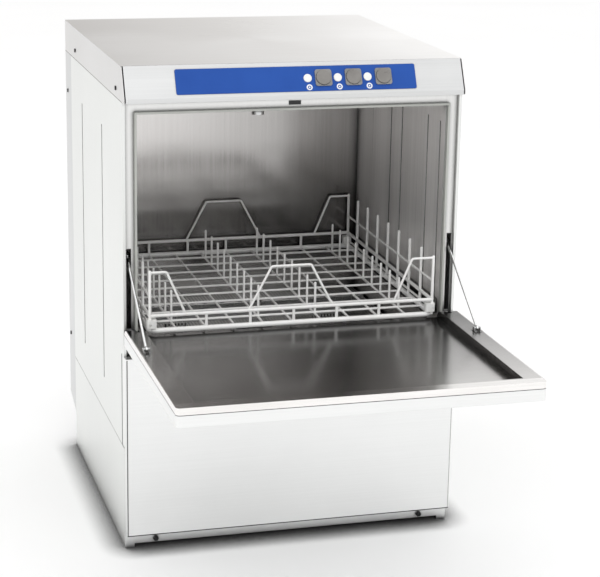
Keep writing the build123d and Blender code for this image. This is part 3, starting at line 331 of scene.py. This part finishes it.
def black_paint(name):
    """Blackened screw heads with rubbed edges."""
    material, nodes, links, shader = new_material(name)
    wear = noise(nodes, links, place(nodes, links, EVEN), 260, 5, 0.65)
    black = mottled(nodes, links, wear, (0.012, 0.012, 0.013), (0.12, 0.12, 0.12), 0.5, 0.85)
    links.new(black, shader.inputs["Base Color"])
    shader.inputs["Metallic"].default_value = 0.6
    links.new(spread(nodes, links, wear, 0.3, 0.5), shader.inputs["Roughness"])
    relief(nodes, links, shader, wear, 0.2, 0.0003, 0.0004)
    return material


def brass(name):
    """Turned brass with fine tool rings and some tarnish."""
    material, nodes, links, shader = new_material(name)
    ring = noise(nodes, links, place(nodes, links, (40, 900, 40)), 1.0, 3, 0.5)
    tarnish = noise(nodes, links, place(nodes, links, EVEN), 45, 4, 0.6)
    yellow = mottled(nodes, links, tarnish, (0.72, 0.50, 0.20), (0.50, 0.34, 0.14))
    links.new(yellow, shader.inputs["Base Color"])
    shader.inputs["Metallic"].default_value = 1.0
    links.new(spread(nodes, links, tarnish, 0.22, 0.42), shader.inputs["Roughness"])
    relief(nodes, links, shader, ring, 0.25, 0.0003, 0.0005)
    return material


def cast_metal(name):
    """Sand-cast aluminium."""
    material, nodes, links, shader = new_material(name)
    sand = noise(nodes, links, place(nodes, links, EVEN), 420, 4, 0.6)
    grey = mottled(nodes, links, sand, (0.34, 0.34, 0.35), (0.48, 0.48, 0.49))
    links.new(grey, shader.inputs["Base Color"])
    shader.inputs["Metallic"].default_value = 0.9
    links.new(spread(nodes, links, sand, 0.42, 0.6), shader.inputs["Roughness"])
    relief(nodes, links, shader, sand, 0.5, 0.0004, 0.001)
    return material


DISC_RADIUS = 0.005
DISC_COUNT = 3
RING_RADIUS = 0.42
RING_EDGE = (0.12, 0.2)


def ring_print(name, node):
    """White printed discs, each with a coloured ring, along the fascia."""
    material, nodes, links, shader = new_material(name)
    low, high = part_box(node)
    pitch = (high[0] - low[0] - 2 * DISC_RADIUS) / (DISC_COUNT - 1)
    coordinates = nodes.new("ShaderNodeTexCoord")
    split = nodes.new("ShaderNodeSeparateXYZ")
    links.new(coordinates.outputs["Object"], split.inputs["Vector"])
    along = add_values(nodes, links, split.outputs["X"], low[0] + DISC_RADIUS - pitch / 2, "SUBTRACT")
    turns = add_values(nodes, links, add_values(nodes, links, along, pitch, "DIVIDE"), 0, "FRACT")
    from_middle = add_values(nodes, links, turns, 0.5, "SUBTRACT")
    across = add_values(nodes, links, from_middle, pitch, "MULTIPLY")
    rise = (high[2] - low[2]) / (2 * DISC_RADIUS)
    up = add_values(nodes, links, split.outputs["Z"], (low[2] + high[2]) / 2, "SUBTRACT")
    up = add_values(nodes, links, up, rise, "DIVIDE")
    squares = add_values(
        nodes,
        links,
        add_values(nodes, links, across, across, "MULTIPLY"),
        add_values(nodes, links, up, up, "MULTIPLY"),
    )
    distance = add_values(nodes, links, squares, 0.5, "POWER")
    past_ring = add_values(nodes, links, distance, RING_RADIUS * DISC_RADIUS, "SUBTRACT")
    off_ring = add_values(nodes, links, past_ring, 0, "ABSOLUTE")
    ring = spread(nodes, links, off_ring, 0, 1, *(edge * DISC_RADIUS for edge in RING_EDGE))
    ink = blend_colours(nodes, links, ring, (0.02, 0.09, 0.34), (0.82, 0.83, 0.85))
    links.new(ink, shader.inputs["Base Color"])
    shader.inputs["Roughness"].default_value = 0.4
    fine = noise(nodes, links, place(nodes, links, EVEN), 1200, 2, 0.5)
    relief(nodes, links, shader, fine, 0.1, 0.0001)
    return material


# Tones of the one stainless steel, set apart per face so that each face matches how bright it looks: partly
# the steel's own tone, partly painted light as lit and shaded copies of one steel. WALL is raised to
# brighten the dim chamber walls.
BRIGHT = ((0.80, 0.805, 0.80), (0.86, 0.865, 0.86))
SIDE = ((0.76, 0.77, 0.755), (0.82, 0.83, 0.815))
LID = ((0.74, 0.73, 0.715), (0.84, 0.835, 0.83))
PANEL = ((0.64, 0.645, 0.645), (0.71, 0.715, 0.715))
FRAME = ((0.70, 0.70, 0.69), (0.80, 0.80, 0.79))
INNER = ((0.50, 0.485, 0.475), (0.66, 0.645, 0.635))
WALL = ((0.66, 0.64, 0.625), (0.97, 0.95, 0.935))
LINER = ((0.58, 0.565, 0.55), (0.70, 0.69, 0.68))

STEELS = {
    # Painted reflection: the top cover is darker at its left end and lighter at its right end.
    "steel_top": dict(grain="x", tones=LID, rough=0.30, painted_light=painted_light_fade("top_cover", "X", 0.88, 1.17)),
    "steel_side": dict(grain="z", tones=SIDE, rough=0.34, darkest=0.35),
    "steel_rear": dict(grain="z", tones=PANEL, rough=0.38, darkest=0.3, smears=(5.0, 5.0, 1.2)),
    "steel_front": dict(grain="x", tones=BRIGHT, rough=0.32),
    "steel_panel": dict(grain="x", tones=PANEL, rough=0.33),
    "steel_frame": dict(grain="z", tones=FRAME, rough=0.30),
    # Painted reflection: the chamber back is lighter on the left and darker on the right; painted shade
    # darkens its corners deeply.
    "steel_back": dict(
        grain="z",
        tones=INNER,
        rough=0.17,
        waves=0.7,
        corner_shade_reach=0.022,
        darkest=0.06,
        painted_light=painted_light_fade("chamber_back", "X", 1.3, 0.5),
    ),
    # Painted shade darkens the corners of the chamber walls deeply.
    "steel_wall": dict(
        grain="z",
        tones=WALL,
        rough=0.30,
        waves=0.7,
        corner_shade_reach=0.022,
        darkest=0.06,
        smears=(1.0, 17.0, 0.5),
        metallic=0.5,
    ),
    "steel_flat": dict(grain="x", tones=INNER, rough=0.26, waves=0.4, corner_shade_reach=0.03, darkest=0.12),
    # Painted shade towards the hinge and painted highlight along the lips of the door's inner pan.
    "steel_liner": dict(grain="x", tones=LINER, rough=0.18, corner_shade_reach=0.02, darkest=0.15, painted_light=liner_painted_light),
    "steel_drawn": dict(grain="y", tones=BRIGHT, rough=0.20),
    "steel_pressed": dict(grain="z", tones=PANEL, rough=0.24),
}
materials = {name: brushed_steel(name, **values) for name, values in STEELS.items()}

GREY = ((0.17, 0.16, 0.15), (0.24, 0.23, 0.215))
BEZEL = ((0.19, 0.19, 0.185), (0.27, 0.265, 0.26))
LENS = ((0.80, 0.80, 0.78), (0.86, 0.86, 0.84))
SHOE = ((0.88, 0.88, 0.86), (0.93, 0.93, 0.91))
BLACK = ((0.016, 0.016, 0.017), (0.026, 0.026, 0.027))
SEAL = ((0.012, 0.012, 0.012), (0.022, 0.022, 0.021))
GASKET = ((0.40, 0.41, 0.385), (0.48, 0.49, 0.46))
PIPE = ((0.26, 0.26, 0.27), (0.32, 0.32, 0.33))
# Colours of the painted shadow lines laid in the joints.
DARK_SHADOW_LINE = ((0.010, 0.010, 0.010), (0.03, 0.03, 0.028))
GREY_SHADOW_LINE = ((0.16, 0.155, 0.145), (0.26, 0.25, 0.235))

PLASTICS = {
    "grey_plastic": dict(tones=GREY, rough=0.3, coat=0.3),
    "bezel_plastic": dict(tones=BEZEL, rough=0.3, coat=0.3),
    "white_lens": dict(tones=LENS, rough=0.22, coat=0.4, bump=0.04),
    "white_shoe": dict(tones=SHOE, rough=0.36),
    "black_plastic": dict(tones=BLACK, rough=0.45),
    "black_rubber": dict(tones=SEAL, rough=0.62, grain_scale=600, bump=0.25),
    "grey_rubber": dict(tones=GASKET, rough=0.5, grain_scale=600, bump=0.25),
    "grey_pipe": dict(tones=PIPE, rough=0.4),
    # Painted shadow lines: dark strips in the joints where there is only shade.
    "dark_shadow_line": dict(tones=DARK_SHADOW_LINE, rough=0.5, grain_scale=700, bump=0.3),
    "grey_shadow_line": dict(tones=GREY_SHADOW_LINE, rough=0.5, grain_scale=700, bump=0.3),
}
materials.update({name: plastic(name, **values) for name, values in PLASTICS.items()})

materials["blue_film"] = fascia_film("blue_film")
materials["white_print"] = ring_print("white_print", "symbol_discs")
materials["coated_wire"] = coated_wire("coated_wire")
materials["strainer"] = strainer_plate("strainer")
materials["black_paint"] = black_paint("black_paint")
materials["brass"] = brass("brass")
materials["cast_metal"] = cast_metal("cast_metal")

NODE_MATERIALS = {
    "steel_top": ["top_cover"],
    "steel_side": ["side_panel_left", "side_panel_right", "base_skirt_left", "base_skirt_right"],
    "steel_rear": ["rear_cover", "base_skirt_rear"],
    "steel_front": ["lower_front_panel", "door_skin", "plinth_front"],
    "steel_panel": ["control_panel"],
    "steel_back": ["chamber_back"],
    "steel_wall": ["chamber_wall_left", "chamber_wall_right"],
    "steel_frame": ["front_flange_left", "front_flange_right", "front_header"],
    "steel_flat": [
        "chamber_ceiling",
        "front_sill",
        "wash_tank",
        "base_pan",
        "base_frame",
        "rack_rails",
        "overflow_pipe",
    ],
    "steel_liner": ["door_liner"],
    "steel_drawn": ["stay_rod_left", "stay_rod_right", "hinge_pins", "tank_heater", "boiler"],
    "steel_pressed": [
        "stay_brackets",
        "hinge_brackets",
        "arm_posts",
        "lower_wash_arm",
        "lower_rinse_arm",
        "upper_wash_arm",
        "upper_rinse_arm",
    ],
    "blue_film": ["fascia_overlay"],
    "grey_plastic": ["push_button_1", "push_button_2", "push_button_3"],
    "bezel_plastic": ["button_bezels"],
    "white_lens": ["pilot_lamps"],
    "white_print": ["symbol_discs"],
    "white_shoe": ["rack_corners"],
    "black_plastic": ["switch_blocks", "door_switch", "cable_gland"],
    "black_rubber": ["door_edge_seal"],
    "grey_rubber": ["door_gasket"],
    "grey_pipe": ["drain_spigot"],
    "coated_wire": ["rack_floor", "rack_sides", "rack_ends", "rack_pegs"],
    "strainer": ["tank_filters"],
    "black_paint": ["cover_screws", "plinth_bolts"],
    "brass": ["inlet_valve"],
    "cast_metal": ["wash_pump"],
}
for name, nodes_of in NODE_MATERIALS.items():
    for node in nodes_of:
        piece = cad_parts[node]
        for slot in piece.material_slots:
            slot.material = materials[name]

# ---- painted shadow lines in the joints -------------------------------------------------------------

SEAM_PROUD = 0.00012
SEAM_PROFILE = ((-0.5, 0.0), (-0.38, 0.8), (-0.15, 1.0), (0.15, 1.0), (0.38, 0.8), (0.5, 0.0))
SEAM_STEP = 0.02


def strip(name, start, end, width, normal, material):
    """A thin dark strip along a joint, with rounded shoulders across its width: a painted shadow line where
    the joint is in shade.
    """
    start, end, normal = Vector(start), Vector(end), Vector(normal)
    along = (end - start).normalized()
    across = along.cross(normal).normalized()
    steps = max(2, int((end - start).length / SEAM_STEP))
    vertices, faces = [], []
    for n in range(steps + 1):
        centre = start.lerp(end, n / steps)
        for side, rise in SEAM_PROFILE:
            vertices.append(centre + across * side * width + normal * rise * SEAM_PROUD)
    for n in range(steps):
        for k in range(len(SEAM_PROFILE) - 1):
            a = n * len(SEAM_PROFILE) + k
            b = a + len(SEAM_PROFILE)
            faces.append((a, a + 1, b + 1, b))
    mesh = bpy.data.meshes.new(name)
    mesh.from_pydata([tuple(v) for v in vertices], [], faces)
    mesh.materials.append(material)
    piece = bpy.data.objects.new(name, mesh)
    bpy.context.scene.collection.objects.link(piece)
    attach(piece, "cabinet")


side_low, side_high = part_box("side_panel_left")
lid_low, lid_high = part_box("top_cover")
front_low, front_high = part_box("lower_front_panel")
rear_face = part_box("rear_cover")[1][1]
HALF_WIDTH = lid_high[0]
END_GAP = 0.001
SEAM_WIDTH = 0.0013
NOTCH_SEAM = 0.006
NOTCH_BEHIND = 0.0355
FRONT_SEAM_INSET = 0.0021
FRONT_SEAM_WIDTH = 0.0017
TIGHT_SEAM_WIDTH = 0.0009
PLINTH_SEAM_RISE = 0.0009


def side_seams(side_name, side, front_width, front_material):
    """The painted shadow lines of one side: under the lid, over the skirt, at the side notch and along the
    lower front.
    """
    x = side * HALF_WIDTH
    outward = (side, 0, 0)
    for name, z, y_end in (("lid", lid_low[2], lid_high[1]), ("skirt", side_low[2], side_high[1])):
        start, end = (x, side_low[1] + 2 * END_GAP, z), (x, y_end - END_GAP, z)
        strip(f"seam_{name}_{side_name}", start, end, SEAM_WIDTH, outward, materials["grey_shadow_line"])
    y = front_low[1] + NOTCH_BEHIND
    start, end = (x, y, side_low[2] + END_GAP), (x, y, front_high[2])
    strip(f"seam_notch_{side_name}", start, end, NOTCH_SEAM, outward, materials["dark_shadow_line"])
    x = side * (HALF_WIDTH - FRONT_SEAM_INSET)
    start = (x, front_low[1], front_low[2] + END_GAP)
    end = (x, front_low[1], front_high[2] - 2 * END_GAP)
    strip(f"seam_front_{side_name}", start, end, front_width, (0, -1, 0), materials[front_material])


def cross_seam(name, y, z, width, normal, material):
    """A painted shadow line across the whole width of the cabinet."""
    reach = HALF_WIDTH - END_GAP
    strip(name, (-reach, y, z), (reach, y, z), width, normal, materials[material])


# The painted shadow line down the left front is black and wider; the right one is grey and narrow.
side_seams("left", -1, FRONT_SEAM_WIDTH, "dark_shadow_line")
side_seams("right", 1, TIGHT_SEAM_WIDTH, "grey_shadow_line")
cross_seam("seam_rear", rear_face, lid_low[2], SEAM_WIDTH, (0, 1, 0), "grey_shadow_line")
cross_seam(
    "seam_plinth", front_low[1], front_low[2] + PLINTH_SEAM_RISE, FRONT_SEAM_WIDTH, (0, -1, 0), "dark_shadow_line"
)

# ---- floor, light and camera ------------------------------------------------------------------------

FLOOR_SIZE = 60.0
CONTACT_SHADE = dict(distance=0.05, darkest=0.1, start=0.5, end=1.0)


def floor():
    """A large pale floor with a very faint mottling and a painted contact shadow around the machine."""
    material, nodes, links, shader = new_material("floor")
    mottle = noise(nodes, links, place(nodes, links, EVEN), 2.0, 3, 0.5)
    pale = mottled(nodes, links, mottle, (0.985, 0.985, 0.985), (0.995, 0.995, 0.995))
    # Painted shadow: the floor is darkened by occlusion near the machine's base.
    contact_shadow = painted_corner_shade(nodes, links, **CONTACT_SHADE)
    links.new(darkened(nodes, links, pale, contact_shadow), shader.inputs["Base Color"])
    shader.inputs["Roughness"].default_value = 0.85
    shader.inputs["Specular IOR Level"].default_value = 0.1
    mesh = bpy.data.meshes.new("studio_floor")
    half = FLOOR_SIZE / 2
    corners = [(-half, -half, 0), (half, -half, 0), (half, half, 0), (-half, half, 0)]
    mesh.from_pydata(corners, [], [(0, 1, 2, 3)])
    piece = bpy.data.objects.new("studio_floor", mesh)
    piece.data.materials.append(material)
    bpy.context.scene.collection.objects.link(piece)


def softbox(name, position, target, size, power):
    """A square soft light that faces a point."""
    data = bpy.data.lights.new(name, "AREA")
    data.shape = "RECTANGLE"
    data.size, data.size_y = size
    data.energy = power
    lamp = bpy.data.objects.new(name, data)
    lamp.location = position
    direction = Vector(target) - Vector(position)
    lamp.rotation_euler = direction.to_track_quat("-Z", "Y").to_euler()
    bpy.context.scene.collection.objects.link(lamp)


LIGHTS = {
    "light_top": dict(position=(0.2, -0.4, 3.6), target=(0, 0, 0.5), size=(4.0, 4.0), power=18),
    "light_left": dict(position=(-3.6, -1.6, 1.9), target=(0, 0, 0.5), size=(2.6, 2.6), power=14),
    "light_front": dict(position=(0.9, -4.6, 2.3), target=(0, 0, 0.4), size=(3.0, 2.2), power=10),
}
SURROUND = (1.0, 1.0, 1.0)
SURROUND_SHADE = (0.62, 0.60, 0.58)
SURROUND_STRENGTH = 1.04


def studio_world():
    """An even white surround that is darker behind the machine on the left."""
    world = bpy.data.worlds.new("studio")
    world.use_nodes = True
    nodes, links = world.node_tree.nodes, world.node_tree.links
    background = nodes["Background"]
    coordinates = nodes.new("ShaderNodeTexCoord")
    split = nodes.new("ShaderNodeSeparateXYZ")
    links.new(coordinates.outputs["Generated"], split.inputs["Vector"])
    back = spread(nodes, links, split.outputs["Y"], 0, 1, 0.35, 0.95)
    left = spread(nodes, links, split.outputs["X"], 1, 0.1, 0.12, 0.34)
    shade = add_values(nodes, links, back, left, "MULTIPLY")
    surround = blend_colours(nodes, links, shade, SURROUND, SURROUND_SHADE)
    links.new(surround, background.inputs["Color"])
    background.inputs["Strength"].default_value = SURROUND_STRENGTH
    bpy.context.scene.world = world


floor()
for name, values in LIGHTS.items():
    softbox(name, **values)
studio_world()
bpy.context.scene.view_settings.view_transform = "Standard"

CAMERA_POSITION = (-0.811, -3.172, 1.270)
CAMERA_YAW = -15.92
CAMERA_PITCH = 15.46
CAMERA_ROLL = 1.07
FOCAL_PIXELS = 1857
FRAME_WIDTH = 600
SENSOR_WIDTH = 36.0
CLIP_END = 200

camera_data = bpy.data.cameras.new("camera")
camera_data.sensor_width = SENSOR_WIDTH
camera_data.lens = FOCAL_PIXELS / FRAME_WIDTH * SENSOR_WIDTH
camera_data.clip_end = CLIP_END
camera = bpy.data.objects.new("camera", camera_data)
bpy.context.scene.collection.objects.link(camera)
camera.matrix_world = (
    Matrix.Translation(CAMERA_POSITION)
    @ Matrix.Rotation(math.radians(CAMERA_YAW), 4, "Z")
    @ Matrix.Rotation(math.radians(90 - CAMERA_PITCH), 4, "X")
    @ Matrix.Rotation(math.radians(CAMERA_ROLL), 4, "Z")
)
bpy.context.scene.camera = camera
